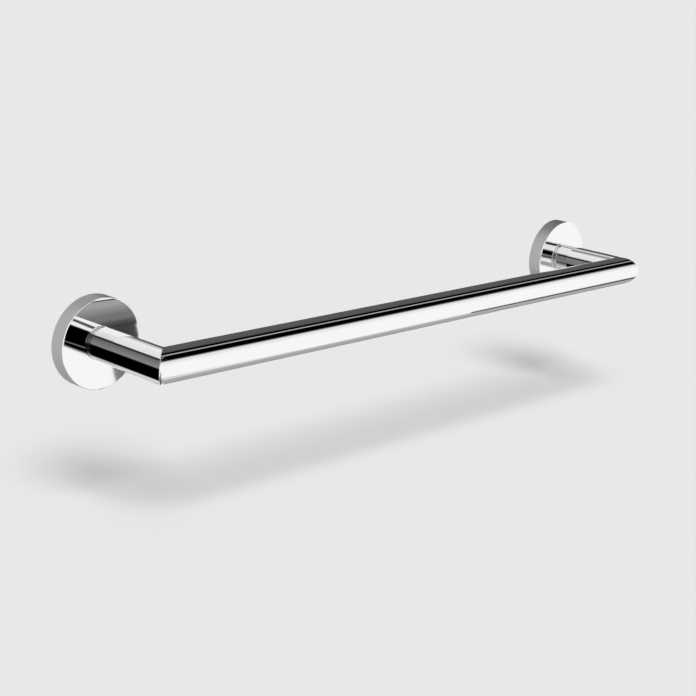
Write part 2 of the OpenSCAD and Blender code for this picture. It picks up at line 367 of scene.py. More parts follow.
# Each finish by its name: its maker, the name of its colour in the settings, its roughness and, where it is
# turned, the pitch of its tool marks
FINISHES = {
    "polished chrome": (polished_chrome, "chrome", 0.02),
    "satin chrome": (satin_chrome, "satin", 0.50),
    "plated cup": (plated_steel, "inside", 0.38),
    "plated brass": (turned_metal, "plug", 0.16, 0.12 * MM),
    "zinc plated screws": (turned_metal, "screw_zinc", 0.26, 0.1 * MM),
    "stainless steel": (turned_metal, "stainless", 0.28, 0.1 * MM),
    "spring steel": (plated_steel, "spring", 0.34),
    "zinc plated steel": (plated_steel, "zinc", 0.36),
    "bare brass": (turned_metal, "brass", 0.30, 0.15 * MM),
}
MADE = {}


def finish_of(name):
    """The material of a finish, which is made at its first use."""
    if name not in MADE:
        maker, colour, *values = FINISHES[name]
        MADE[name] = maker(name, tuple(getattr(bpy.context.scene.finish_colours, colour)), *values)
    return MADE[name]


def on_post(side, points):
    """Points from an arm's frame, +Z out of the wall and +Y up, to the room's."""
    x, y, z = np.asarray(points, float).T
    middle = side * bpy.context.scene.rail_sizes.half_centres
    return np.stack([middle + x, -z, y], axis=1)


def on_corner(side, along, inward, up):
    """Points from the frame of a corner, +X along the bar and +Y to the wall, to the room's."""
    sizes = bpy.context.scene.rail_sizes
    return np.stack([side * (sizes.half_centres - along), inward - sizes.reach, up], axis=1)


def skin(rows, closed):
    """Points and faces of a skin laid over rows of points, and the pair of rows at each belt of faces.

    A row of one point is a pole.
    """
    starts = np.cumsum([0] + [len(row) for row in rows])
    faces = []
    pairs = list(zip(range(len(rows) - 1), range(1, len(rows))))
    if closed:
        pairs.append((len(rows) - 1, 0))
    for first, second in pairs:
        count = max(len(rows[first]), len(rows[second]))
        for column in range(count):
            after = (column + 1) % count
            corners = []
            for row, place in ((first, column), (first, after), (second, after), (second, column)):
                corner = int(starts[row]) + (place if len(rows[row]) > 1 else 0)
                if corner not in corners:
                    corners.append(corner)
            faces.append(corners)
    return np.concatenate(rows), faces, pairs


def outward(mesh):
    """Turns the faces of a closed mesh outwards, by the sign of its volume."""
    shape = bmesh.new()
    shape.from_mesh(mesh)
    if shape.calc_volume(signed=True) < 0:
        bmesh.ops.reverse_faces(shape, faces=shape.faces)
    shape.to_mesh(mesh)
    shape.free()


def smooth(mesh):
    """Shades a mesh smooth up to its sharp edges."""
    mesh.shade_smooth()
    mesh.set_sharp_from_angle(angle=SHARP_ANGLE)


def linked(name, data):
    """A new object in the scene, with its data."""
    thing = bpy.data.objects.new(name, data)
    bpy.context.scene.collection.objects.link(thing)
    return thing


def evaluated_mesh(thing):
    """A plain mesh of an object with its modifiers applied."""
    graph = bpy.context.evaluated_depsgraph_get()
    return bpy.data.meshes.new_from_object(thing.evaluated_get(graph))


def make_mesh(name, points, faces, materials, bands=None):
    """A closed mesh with smooth skin and sharp edges. Bands number each face's material."""
    mesh = bpy.data.meshes.new(name)
    mesh.from_pydata([tuple(point) for point in points], [], faces)
    for material in materials:
        mesh.materials.append(material)
    if bands is not None:
        mesh.polygons.foreach_set("material_index", bands)
    outward(mesh)
    smooth(mesh)
    mesh.validate()
    return mesh


def add_piece(name, mesh, node):
    """Links a finished mesh as a piece of the rail that stands for a node of the frame."""
    piece = linked(name, mesh)
    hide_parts(node)
    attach(piece, "root")


def add_pair(piece, points, faces, finish, node):
    """Adds a piece to both arms, from its points in an arm's frame."""
    for name, side in SIDES.items():
        mesh = make_mesh(name + "_" + piece, on_post(side, points), faces, [finish_of(finish)])
        add_piece(name + "_" + piece, mesh, name + "_" + node)


def angles(steps):
    """Turns of the columns of a round piece."""
    return np.arange(steps) * TAU / steps


def rounded(corners):
    """A closed half section from corners (radius, height, edge radius), with an arc on each edge.

    Rows lie close beside each arc, so that the flats stay flat to the light.
    """
    section = []
    for index, (radius, height, edge) in enumerate(corners):
        here = Vector((radius, height))
        before = Vector(corners[index - 1][:2]) - here
        after = Vector(corners[(index + 1) % len(corners)][:2]) - here
        if edge <= 0:
            section.append(tuple(here))
            continue
        start = before.normalized()
        end = after.normalized()
        half = start.angle(end) / 2
        setback = edge / math.tan(half)
        centre = here + (start + end).normalized() * edge / math.sin(half)
        first = here + start * setback - centre
        last = here + end * setback - centre
        turn = first.angle_signed(last)
        steps = max(2, round(abs(turn) / (math.pi / 2) * EDGE_STEPS))
        if before.length > setback + 3 * SUPPORT:
            section.append(tuple(here + start * (setback + SUPPORT)))
        for step in range(steps + 1):
            angle = -turn * step / steps
            swung = Vector((first.x * math.cos(angle) - first.y * math.sin(angle),
                            first.x * math.sin(angle) + first.y * math.cos(angle)))
            section.append(tuple(centre + swung))
        if after.length > setback + 3 * SUPPORT:
            section.append(tuple(here + end * (setback + SUPPORT)))
    return section


def ring_row(radius, height, steps):
    """One row of a turned piece. The radius is a number, or one for each column."""
    if np.isscalar(radius) and radius <= 0:
        return np.array([[0, 0, height]])
    turn = angles(steps)
    return np.stack([radius * np.cos(turn), radius * np.sin(turn), np.full(steps, height)], axis=1)


def turned(section, steps=TURN_STEPS):
    """Rows of a turned piece round +Z, from its half section."""
    return [ring_row(radius, height, steps) for radius, height in section]


def hexagon(across_flats, steps):
    """Radius of a hexagon in each column."""
    turn = np.mod(angles(steps), TAU / 6) - TAU / 12
    return across_flats / 2 / np.cos(turn)


class RAIL_OT_bar(bpy.types.Operator):
    """Adds the bar, a tube mitred at both ends, with the ridge of each mitre polished round"""
    bl_idname = "towel_rail.bar"
    bl_label = "Bar"

    def execute(self, context):
        rows = []
        for side in (-1, 1):
            end = [on_corner(side, *line) for line in mitred_end()]
            rows += end if side < 0 else end[::-1]
        points, faces, _ = skin(rows, closed=True)
        mesh = make_mesh("bar_tube", points, faces, [finish_of("polished chrome")])
        add_piece("bar_tube", mesh, "rail_bar")
        return {"FINISHED"}


def mitred_end():
    """Lines round a mitred tube end, in the corner's frame, from the bore out over the ridge to the tube.

    A line is three arrays: along the tube, across it towards the inside of the bend, and up.
    """
    sizes = bpy.context.scene.rail_sizes
    turn = angles(TURN_STEPS)
    out = np.cos(turn)
    bore = sizes.tube_radius - sizes.tube_wall
    ridge = np.where(out > 0, sizes.ridge_radius, sizes.valley_radius) * out
    # Where ridge and valley meet the radius stays above zero, so that no two points fall together
    ridge = np.sqrt(ridge ** 2 + (0.1 * sizes.valley_radius) ** 2)
    centre = ridge - sizes.tube_radius * out
    height = sizes.tube_radius * np.sin(turn)
    lines = [(-bore * out, -bore * out, bore * np.sin(turn))]
    for step in range(EDGE_STEPS + 1):
        sweep = math.pi / 4 * (1 - step / EDGE_STEPS)
        lines.append((centre - ridge * math.sin(sweep), centre - ridge * math.cos(sweep), height))
    lines.append((centre + SUPPORT, centre - ridge, height))
    return lines


class RAIL_OT_arms(bpy.types.Operator):
    """Adds the two arms, the same tube, mitred at the bar and squared at the foot"""
    bl_idname = "towel_rail.arms"
    bl_label = "Arms"

    def execute(self, context):
        sizes = context.scene.rail_sizes
        outer = sizes.tube_radius
        bore = outer - sizes.tube_wall
        foot = sizes.reach - sizes.foot_height
        edge = sizes.foot_radius
        section = [(outer, foot - edge - SUPPORT)]
        for step in range(EDGE_STEPS + 1):
            angle = math.pi / 2 * step / EDGE_STEPS
            section.append((outer - edge + edge * math.cos(angle), foot - edge + edge * math.sin(angle)))
        section.append((bore, foot))
        turn = angles(TURN_STEPS)
        for name, side in SIDES.items():
            rows = [on_corner(side, across, along, up) for along, across, up in mitred_end()]
            for radius, inward in section:
                rows.append(on_corner(side, -radius * np.cos(turn), np.full(TURN_STEPS, inward),
                                      radius * np.sin(turn)))
            points, faces, _ = skin(rows, closed=True)
            mesh = make_mesh(name + "_arm_tube", points, faces, [finish_of("polished chrome")])
            add_piece(name + "_arm_tube", mesh, name + "_arm")
        return {"FINISHED"}


def grub_hole_cutter(side):
    """A plain shape that drills the grub screw's hole through a rim from below, and breaks its edge."""
    sizes = bpy.context.scene.fixing_sizes
    rosette = bpy.context.scene.rosette_sizes
    lead = 0.4 * MM
    depth = rosette.rim + 1 * MM
    section = [(0, -lead), (sizes.grub_hole + 2 * lead, -lead), (sizes.grub_hole, lead),
               (sizes.grub_hole, depth), (0, depth)]
    points, faces, _ = skin(turned(section, steps=SCREW_STEPS), closed=False)
    return make_mesh("grub hole", on_post(side, from_below(points, -rosette.radius)), faces, [])


def from_below(points, start):
    """Points from a grub screw's frame, +Z from its outer end to its tip, to the arm's frame."""
    x, y, z = np.asarray(points, float).T
    return np.stack([x, start + z, bpy.context.scene.fixing_sizes.grub_height - y], axis=1)


def cut_by(mesh, cutter_mesh):
    """The mesh with the cutter's shape taken out of it."""
    piece = linked("cut", mesh)
    cutter = linked("cutter", cutter_mesh)
    modifier = piece.modifiers.new("drill", "BOOLEAN")
    modifier.operation = "DIFFERENCE"
    modifier.solver = "EXACT"
    modifier.object = cutter
    result = evaluated_mesh(piece)
    for helper in (piece, cutter):
        bpy.data.objects.remove(helper)
    return result


class RAIL_OT_rosettes(bpy.types.Operator):
    """Adds the rosettes, turned cups with a polished face and a satin rim"""
    bl_idname = "towel_rail.rosettes"
    bl_label = "Rosettes"

    def execute(self, context):
        sizes = context.scene.rosette_sizes
        hole = sizes.spigot_radius + sizes.spigot_gap
        cup = sizes.radius - sizes.rim
        floor = sizes.height - sizes.face
        hole_edge = 0.2 * MM
        section = rounded([
            (hole, sizes.height, hole_edge),
            (sizes.radius, sizes.height, sizes.front_edge),
            (sizes.radius, 0, sizes.back_edge),
            (cup, 0, sizes.mouth),
            (cup, floor, sizes.inner_corner),
            (hole, floor, hole_edge)])
        finishes = [finish_of(name) for name in ("polished chrome", "satin chrome", "plated cup")]
        for name, side in SIDES.items():
            points, faces, pairs = skin(turned(section), closed=True)
            bands = []
            for first, second in pairs:
                middle = (np.array(section[first]) + np.array(section[second])) / 2
                bands += [self.band(middle, sizes, cup)] * TURN_STEPS
            whole = make_mesh("rosette", on_post(side, points), faces, finishes, bands)
            mesh = cut_by(whole, grub_hole_cutter(side))
            smooth(mesh)
            mesh.name = name + "_rosette_cup"
            add_piece(name + "_rosette_cup", mesh, name + "_rosette")
        return {"FINISHED"}

    @staticmethod
    def band(middle, sizes, cup):
        """0 on the polished face and its edge, 1 on the satin rim, 2 inside the cup."""
        radius, height = middle
        if radius > sizes.radius - SUPPORT and height < sizes.height - sizes.front_edge:
            return 1
        if height > sizes.height - sizes.face / 2:
            return 0
        if radius > cup + sizes.mouth:
            return 1
        return 2


class RAIL_OT_plugs(bpy.types.Operator):
    """Adds the turned plugs in the arms' feet, with the neck of the shadow gap"""
    bl_idname = "towel_rail.plugs"
    bl_label = "Arm plugs"

    def execute(self, context):
        rail = context.scene.rail_sizes
        sizes = context.scene.rosette_sizes
        glued = rail.tube_radius - rail.tube_wall - sizes.glue_gap
        neck = rail.tube_radius - sizes.neck_inset
        low = sizes.height - sizes.spigot_length
        high = heights("left_arm_plug")[1]
        edge = 0.15 * MM
        corners = [
            (sizes.tapped_radius, low, sizes.tapped_edge),
            (sizes.spigot_radius, low, sizes.spigot_edge),
            (sizes.spigot_radius, sizes.height, 0),
            (neck, sizes.height, edge),
            (neck, rail.foot_height, edge),
            (glued, rail.foot_height, 0)]
        # Two glue grooves, one width above the foot and one width apart
        for widths in (1, 3):
            bottom = rail.foot_height + widths * sizes.groove_width
            top = bottom + sizes.groove_width
            corners += [(glued, bottom, edge / 2), (glued - sizes.groove_depth, bottom, edge / 2),
                        (glued - sizes.groove_depth, top, edge / 2), (glued, top, edge / 2)]
        nose = 1 * MM
        section = rounded(corners + [(glued, high - nose, edge), (glued - nose, high, edge)])
        depth = low + sizes.tapped_depth
        point = sizes.tapped_radius / math.tan(DRILL_HALF_ANGLE)
        section += [(0, high), (0, depth + point), (sizes.tapped_radius, depth)]
        # The skin starts at the pole in the tapped hole and ends at the pole on the nose
        top_pole = section.index((0, high))
        section = section[top_pole + 1:] + section[:top_pole + 1]
        points, faces, _ = skin(turned(section), closed=False)
        add_pair("turned_plug", points, faces, "plated brass", "arm_plug")
        return {"FINISHED"}


def thread_tree():
    """A tree that cuts a helical thread into the evenly ringed shank of a screw that stands on +Z."""
    tree = bpy.data.node_groups.new("cut thread", "GeometryNodeTree")
    interface = tree.interface
    interface.new_socket(name="Geometry", in_out="INPUT", socket_type="NodeSocketGeometry")
    for name in ("Pitch", "Depth", "Start", "End", "Core"):
        interface.new_socket(name=name, in_out="INPUT", socket_type="NodeSocketFloat")
    interface.new_socket(name="Finish", in_out="INPUT", socket_type="NodeSocketMaterial")
    interface.new_socket(name="Geometry", in_out="OUTPUT", socket_type="NodeSocketGeometry")
    board = Board(tree)
    source = tree.nodes.new("NodeGroupInput")
    given = {socket.name: Socket(board, socket) for socket in source.outputs if socket.name}
    x, y, z = board.split(board.add("GeometryNodeInputPosition"))
    radius = board.maths("SQRT", x * x + y * y)
    turns = z / given["Pitch"] - board.maths("ARCTAN2", y, x) / TAU
    # A saw from 0 to 1 along each turn, folded to a ridge and cut flat at crest and root
    saw = board.maths("FRACT", turns)
    ridge = ((1 - abs(saw * 2 - 1)) * 1.5 - 0.25).clamped() - 0.5
    run_in = ((z - given["Start"]) / given["Pitch"]).clamped()
    run_out = ((given["End"] - z) / given["Pitch"]).clamped()
    share = ridge * given["Depth"] * run_in * run_out / radius
    on_shank = board.add("FunctionNodeCompare", {"data_type": "FLOAT", "operation": "GREATER_THAN"},
                         {"A": radius, "B": given["Core"]}, output="Result")
    offset = board.add("ShaderNodeCombineXYZ", {}, {"X": x * share, "Y": y * share})
    cut = board.add("GeometryNodeSetPosition", {}, {
        "Geometry": given["Geometry"], "Selection": on_shank, "Offset": offset})
    real = board.add("GeometryNodeRealizeInstances", {}, {"Geometry": cut})
    dressed = board.add("GeometryNodeSetMaterial", {}, {"Geometry": real, "Material": given["Finish"]})
    board.fill(tree.nodes.new("NodeGroupOutput"), 0, dressed)
    return tree


def cut_thread(mesh, **inputs):
    """The mesh of a screw with its thread cut, as a plain mesh."""
    tree = bpy.data.node_groups.get("cut thread") or thread_tree()
    blank = linked("blank", mesh)
    modifier = blank.modifiers.new("thread", "NODES")
    modifier.node_group = tree
    for item in tree.interface.items_tree:
        if item.item_type == "SOCKET" and item.in_out == "INPUT" and item.name in inputs:
            modifier[item.identifier] = inputs[item.name]
    result = evaluated_mesh(blank)
    blank.modifiers.remove(modifier)
    bpy.data.objects.remove(blank)
    return result


def shank_rows(radius, low, high, pitch):
    """Evenly spaced rows of a plain shank, enough to carry a thread of a pitch."""
    count = math.ceil((high - low) / pitch * THREAD_STEPS)
    return [(radius, low + (high - low) * step / count) for step in range(count + 1)]


def socket_rows(across_flats, mouth, depth, dimple, taper, lead, flare):
    """Rows of a hexagon socket, from the dimple that the drill leaves to the flared mouth."""
    wall = hexagon(across_flats, SCREW_STEPS)
    corner = across_flats / math.cos(math.pi / 6) / 2
    floor = mouth + depth
    return [(0, floor + dimple), (wall * taper, floor), (wall, floor - 0.1 * MM), (wall, mouth + lead),
            (np.full(SCREW_STEPS, corner + flare), mouth)]


def add_screws(piece, section, place, thread, finish, node):
    """Adds both screws of a kind from their section, cut with their thread and moved to the arm's frame."""
    points, faces, _ = skin(turned(section, steps=SCREW_STEPS), closed=False)
    for name, side in SIDES.items():
        blank = make_mesh(name + "_blank", points, faces, [finish_of(finish)])
        mesh = cut_thread(blank, Finish=finish_of(finish), **thread)
        mesh.name = name + "_" + piece
        places = np.empty(len(mesh.vertices) * 3)
        mesh.vertices.foreach_get("co", places)
        mesh.vertices.foreach_set("co", on_post(side, place(places.reshape(-1, 3))).ravel())
        outward(mesh)
        smooth(mesh)
        mesh.update()
        add_piece(mesh.name, mesh, name + "_" + node)


class RAIL_OT_arm_screws(bpy.types.Operator):
    """Adds the button-head screws that hold the arms from inside the rosettes"""
    bl_idname = "towel_rail.arm_screws"
    bl_label = "Arm screws"

    def execute(self, context):
        sizes = context.scene.fixing_sizes
        low, high = heights("left_arm_screw")
        seat = low + sizes.arm_head
        rim = length_of("left_arm_screw", 2) / 2
        crown_land = 0.6 * MM
        crown = sizes.arm_socket / math.cos(math.pi / 6) / 2 + crown_land
        # The dome is an arc through the rim of the head and the edge of its crown
        width = rim - crown
        dome = (width ** 2 + sizes.arm_head ** 2) / (2 * width)
        reach = math.asin(sizes.arm_head / dome)
        section = socket_rows(sizes.arm_socket, low, sizes.arm_socket_depth, dimple=0.5 * MM, taper=0.97,
                              lead=0.35 * MM, flare=0.15 * MM)
        for step in range(DOME_STEPS + 1):
            angle = reach * (1 - step / DOME_STEPS)
            section.append((rim - dome + dome * math.cos(angle), seat - dome * math.sin(angle)))
        shank = sizes.arm_shank
        fillet = 0.3 * MM
        bevel = 0.6 * MM
        tip = shank - 0.5 * MM
        section += [(rim - 0.1 * MM, seat + HAIR), (shank + fillet, seat + HAIR)]
        section += shank_rows(shank, seat + fillet, high - bevel, sizes.arm_pitch)
        section += [(tip, high), (0, high)]
        thread = {"Pitch": sizes.arm_pitch, "Depth": 0.55 * MM, "Start": seat + 1 * MM,
                  "End": high - 0.4 * MM, "Core": shank * THREAD_CORE}
        add_screws("button_screw", section, lambda points: points, thread, "zinc plated screws",
                   "arm_screw")
        return {"FINISHED"}


class RAIL_OT_grub_screws(bpy.types.Operator):
    """Adds the cone-point grub screws that lock the rosettes to their brackets from below"""
    bl_idname = "towel_rail.grub_screws"
    bl_label = "Grub screws"

    def execute(self, context):
        sizes = context.scene.fixing_sizes
        start = span("left_grub_screw", 2)[0]
        length = length_of("left_grub_screw", 2)
        shank = sizes.grub_shank
        bevel = 0.25 * MM
        cone = length - (shank - sizes.grub_tip)
        section = socket_rows(sizes.grub_socket, 0, sizes.grub_socket_depth, dimple=0.3 * MM, taper=0.96,
                              lead=0.15 * MM, flare=0.1 * MM)
        section += [(shank - bevel, 0)]
        section += shank_rows(shank, bevel, cone, sizes.grub_pitch)
        section += [(sizes.grub_tip, length), (0, length)]
        thread = {"Pitch": sizes.grub_pitch, "Depth": 0.36 * MM, "Start": 0.1 * MM,
                  "End": cone, "Core": shank * THREAD_CORE}
        add_screws("cone_point_screw", section, lambda points: from_below(points, start), thread,
                   "stainless steel", "grub_screw")
        return {"FINISHED"}


def washer_section(hole, node, edge):
    """Half section of a washer with rounded edges, as wide and as thick as its node of the frame."""
    low, high = heights(node)
    outer = length_of(node, 2) / 2
    return rounded([(hole, low, edge), (outer, low, edge), (outer, high, edge), (hole, high, edge)])


class RAIL_OT_flat_washers(bpy.types.Operator):
    """Adds the flat washers on the floors of the cups"""
    bl_idname = "towel_rail.flat_washers"
    bl_label = "Flat washers"

    def execute(self, context):
        hole = context.scene.fixing_sizes.washer_hole
        section = washer_section(hole, "left_flat_washer", edge=0.2 * MM)
        points, faces, _ = skin(turned(section, steps=WASHER_STEPS), closed=True)
        add_pair("plain_washer", points, faces, "zinc plated screws", "flat_washer")
        return {"FINISHED"}


class RAIL_OT_lock_washers(bpy.types.Operator):
    """Adds the split lock washers under the heads of the arm screws"""
    bl_idname = "towel_rail.lock_washers"
    bl_label = "Lock washers"

    def execute(self, context):
        sizes = context.scene.fixing_sizes
        section = washer_section(sizes.lock_hole, "left_lock_washer", edge=0.12 * MM)
        radius, height = np.array(section).T
        middle = sum(heights("left_lock_washer")) / 2
        lean = (height - middle) * math.tan(sizes.lock_slant)
        half = sizes.lock_split / 2 / math.cos(sizes.lock_slant)
        # Each line round the section turns from one side of the split to the other
        first = np.arcsin((half - lean) / radius)
        last = TAU + np.arcsin((-half - lean) / radius)
        slices = []
        for column in range(WASHER_STEPS + 1):
            turn = first + (last - first) * column / WASHER_STEPS
            slices.append(np.stack([radius * np.cos(turn), radius * np.sin(turn), height], axis=1))
        points, faces, _ = skin(slices, closed=False)
        count = len(section)
        faces += [list(range(count)), list(range(len(points) - count, len(points)))[::-1]]
        add_pair("split_washer", points, faces, "spring steel", "lock_washer")
        return {"FINISHED"}


class RAIL_OT_brackets(bpy.types.Operator):
    """Adds the wall brackets, with their sharp edges broken"""
    bl_idname = "towel_rail.brackets"
    bl_label = "Wall brackets"

    def execute(self, context):
        for name in SIDES:
            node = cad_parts[name + "_wall_bracket"]
            shape = bmesh.new()
            shape.from_mesh(node.data)
            bmesh.ops.remove_doubles(shape, verts=shape.verts, dist=HAIR / 2)
            bmesh.ops.dissolve_limit(shape, angle_limit=FLAT_ANGLE, verts=shape.verts, edges=shape.edges)
            edges = [edge for edge in shape.edges if edge.calc_face_angle(0) > SHARP_ANGLE]
            bmesh.ops.bevel(shape, geom=edges, offset=0.12 * MM, segments=2, profile=0.5, affect="EDGES",
                            clamp_overlap=True)
            mesh = bpy.data.meshes.new(name + "_slotted_bracket")
            shape.to_mesh(mesh)
            shape.free()
            mesh.materials.append(finish_of("zinc plated steel"))
            smooth(mesh)
            add_piece(name + "_slotted_bracket", mesh, name + "_wall_bracket")
        return {"FINISHED"}


class RAIL_OT_corner_keys(bpy.types.Operator):
    """Gives the hidden corner keys the finish of bare turned brass"""
    bl_idname = "towel_rail.corner_keys"
    bl_label = "Corner keys"

    def execute(self, context):
        for name in SIDES:
            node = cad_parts[name + "_corner_key"]
            for slot in node.material_slots:
                slot.material = finish_of("bare brass")
        return {"FINISHED"}


# Flags that only show in the gloss of the metal. Each is part of a round skin about the axis of one member
# of the rail: the member, the setting of its radius, where it begins and ends along the axis, and its
# stops. A stop has its turn about the axis in degrees, or the turns at the beginning and at the end where
# they differ, and its tone, which changes evenly to the next stop. Round an arm the turn counts up from -X,
# and round the bar from -Y.
FLAGS = {
    "flag behind left arm": ("left", "far", 6.2, 7.3, [
        (-140, 0.2), (-120, 0.7), (-90, 0.7), (-80, 0), (-2, 0), (5, 0.25), (45, 0.15), (55, 0), (60, 0.05),
        (65, 0.8), (125, 0.9), (135, 0.6), (165, 0.5)]),
    "flag behind right arm": ("right", "far", 3.7, 4.3, [
        (-75, 0), (-35, 0), (-25, 0.2), (15, 0.2), (25, 0), (30, 0), (38, 0.8), (80, 0.9), (95, 0.3),
        (110, 0.3), (120, 0.8), (128, 0.9)]),
    "flag beside left arm": ("left", "near", -0.1425, 0.050, [
        (-115, 0.6), (-85, 0.6), (-75, 0), (-2, 0), (5, 0.25), (45, 0.15), (55, 0), (60, 0.05), (65, 0.8),
        (105, 0.9)]),
    "flag mirrored with left arm": ("left", "near", -0.185, -0.1425, [
        (-100, 0.9), (-85, 0.3), (-70, 0), (-55, -45, 0), (-50, -35, 0.2), (-45, -30, 0), (65, 0),
        (70, 0.05), (80, 75, 1), (105, 90, 1), (115, 100, 0), (135, 120, 0.3)]),
    "flag beside right arm": ("right", "near", -0.0875, 0.050, [
        (-90, 0.8), (-70, 0.6), (-45, 0.2), (-35, 0.05), (-25, 0.2), (15, 0.2), (25, 0), (30, 0), (45, 0.9),
        (110, 0.9)]),
    "flag mirrored with right arm": ("right", "near", -0.120, -0.0875, [
        (-40, 0.9), (-25, 0.6), (-20, 0.1), (0, 0), (35, 0), (45, 0.2), (50, 0.9), (95, 0.9), (105, 0),
        (120, 0), (140, 0.5)]),
    "flag over bar": ("bar", "far", 4.47, 9.6, [
        (-20, 1), (15, 20, 1), (40, 0.8), (45, 50, 0.2), (50, 55, 0), (78, 0), (82, 0.5), (85, 0.5),
        (88, 0), (100, 0), (110, 0.1), (180, 0.1)]),
    "flag under bar": ("bar", "far", 4.47, 7.1, [
        (-180, 0.1), (-160, 0.1), (-120, 0.4), (-95, 0.4), (-80, 0.5), (-75, 0.7), (-70, -65, 1)]),
    "flag under right end": ("bar", "far", 7.1, 9.6, [
        (-180, 0.1), (-160, 0.1), (-120, 0.4), (-95, 0.4), (-80, -90, 0.5), (-75, -85, 0.05),
        (-70, -75, 0.05), (-65, 0.5), (-62, 1)]),
    "flag mirrored with bar": ("bar", "far", 3.95, 4.455, [
        (-180, 0.2), (-150, 0.2), (-120, 0.1), (-80, 0.05), (-25, 0.05)]),
    "top flag mirrored with bar": ("bar", "far", 3.95, 4.455, [
        (20, 1), (44, 80, 1), (46, 82, 0), (54, 88, 0), (58, 90, 0.4), (105, 0.4), (180, 0.2)]),
    "flag mirrored in left face": ("bar", "far", 4.24, 4.455, [
        (-24, 0.2), (-21, 0.2), (-20, 0.05), (-14, 0.05)]),
}


# Tone of the front flag, and the widest turn in degrees that one face of a flag covers
FRONT_TONE = 0.02
FLAG_STEP = 4


def add_front_flag(finish, distance):
    """A half disc before the left arm, which the round edges of its foot mirror."""
    rail = bpy.context.scene.rail_sizes
    level = FLAGS["flag mirrored with left arm"][2]
    # A little over half a turn about the arm, in steps of 15 degrees
    turns = np.radians(np.arange(-105, 106, 15))
    points = [(-rail.half_centres, level, 0)]
    for turn in turns:
        points.append((-rail.half_centres - distance * math.cos(turn), level, distance * math.sin(turn)))
    faces = [(0, column, column + 1) for column in range(1, len(turns))]
    flag_mesh("front flag", points, faces, [FRONT_TONE] * len(points), finish)


def flag_mesh(name, points, faces, tones, finish):
    """A sheet that only gloss shows, with a tone for each of its points."""
    mesh = bpy.data.meshes.new(name)
    mesh.from_pydata([tuple(point) for point in points], [], faces)
    mesh.attributes.new("tone", "FLOAT", "POINT").data.foreach_set("value", tones)
    mesh.materials.append(finish)
    sheet = linked(name, mesh)
    for way in ("camera", "diffuse", "shadow", "transmission"):
        setattr(sheet, "visible_" + way, False)


def add_flag(name, finish, distance):
    """One flag, with its tones in an attribute that the finish of all flags shows."""
    member, _, low, high, stops = FLAGS[name]
    rail = bpy.context.scene.rail_sizes
    marks = [np.array((stop[0], stop[-2])) for stop in stops]
    turns, tones = [], []
    for index in range(len(stops) - 1):
        steps = max(1, math.ceil((marks[index + 1] - marks[index]).max() / FLAG_STEP))
        for step in range(steps):
            turns.append(marks[index] + (marks[index + 1] - marks[index]) * step / steps)
            tones.append(stops[index][-1] + (stops[index + 1][-1] - stops[index][-1]) * step / steps)
    turns = np.radians(turns + [marks[-1]]).T
    tones.append(stops[-1][-1])
    columns = len(tones)
    points = []
    for row, place in zip(turns, (low, high)):
        level = distance * np.sin(row)
        along = np.full(columns, place)
        if member == "bar":
            points.append(np.stack([along, -rail.reach - distance * np.cos(row), level], axis=1))
        else:
            middle = SIDES[member] * rail.half_centres
            points.append(np.stack([middle - distance * np.cos(row), along, level], axis=1))
    faces = [(column, column + 1, columns + column + 1, columns + column) for column in range(columns - 1)]
    flag_mesh(name, np.concatenate(points), faces, tones * 2, finish)


def flag_finish(name, mirrors):
    """Light of a flag's own tone, which shows after so many mirrors."""
    finish = Finish(name)
    tone = finish.add("ShaderNodeAttribute", {"attribute_name": "tone"}, output="Fac")
    light = finish.add("ShaderNodeEmission", {}, {"Color": finish.blend(tone, (0, 0, 0), (1, 1, 1))})
    depth = finish.add("ShaderNodeLightPath", output="Glossy Depth")
    shown = finish.maths("GREATER_THAN", depth, mirrors - 0.5)
    clear = finish.add("ShaderNodeBsdfTransparent")
    finish.add("ShaderNodeOutputMaterial", {}, {
        "Surface": finish.add("ShaderNodeMixShader", {}, {0: shown, 1: clear, 2: light})})
    return finish.material


def rise(value, start, end):
    """0 up to the start, 1 from the end on, and even in between."""
    return ((value - start) / (end - start)).clamped()


def room_tone(board):
    """What metal sees of the room past the flags, by the direction: white, less what is dark or grey."""
    x, y, z = board.split(board.add("ShaderNodeTexCoord", output="Generated"))
    # A black strip above the horizon and grey over it, save towards the back left
    strip = rise(z, 0.68, 0.72) * 0.98 - rise(z, 0.92, 0.94) * 0.25
    strip = strip * (1 - rise(y, 0.05, 0.30) * rise(0 - x, 0, 0.30))
    # Grey that gets darker towards straight down
    ground = rise(0 - z, 0.66, 0.76) * 0.55 + rise(0 - z, 0.76, 1.0) * 0.25
    # Soft grey straight in front of the wall
    front = rise(0 - y, 0.94, 0.99) * 0.35
    return (1 - strip - ground - front).clamped()


FLOOR_HALF = 60
KEY_ANGLE = math.radians(30)
KEY_PLACE = Vector((-0.6, -0.9, 1.5))
KEY_AIM = Vector((0, -0.05, 0))
# The photograph's own camera, found from the rail's edges: its lens and film in millimetres, its place, and
# where its right and its up point
LENS = 80.03
FILM_WIDTH = 36
CAMERA_PLACE = Vector((-0.74110, -0.68314, 0.24135))
CAMERA_RIGHT = Vector((0.69051693, -0.72070032, 0.0614607))
CAMERA_UP = Vector((0.15362026, 0.22915609, 0.96119108))


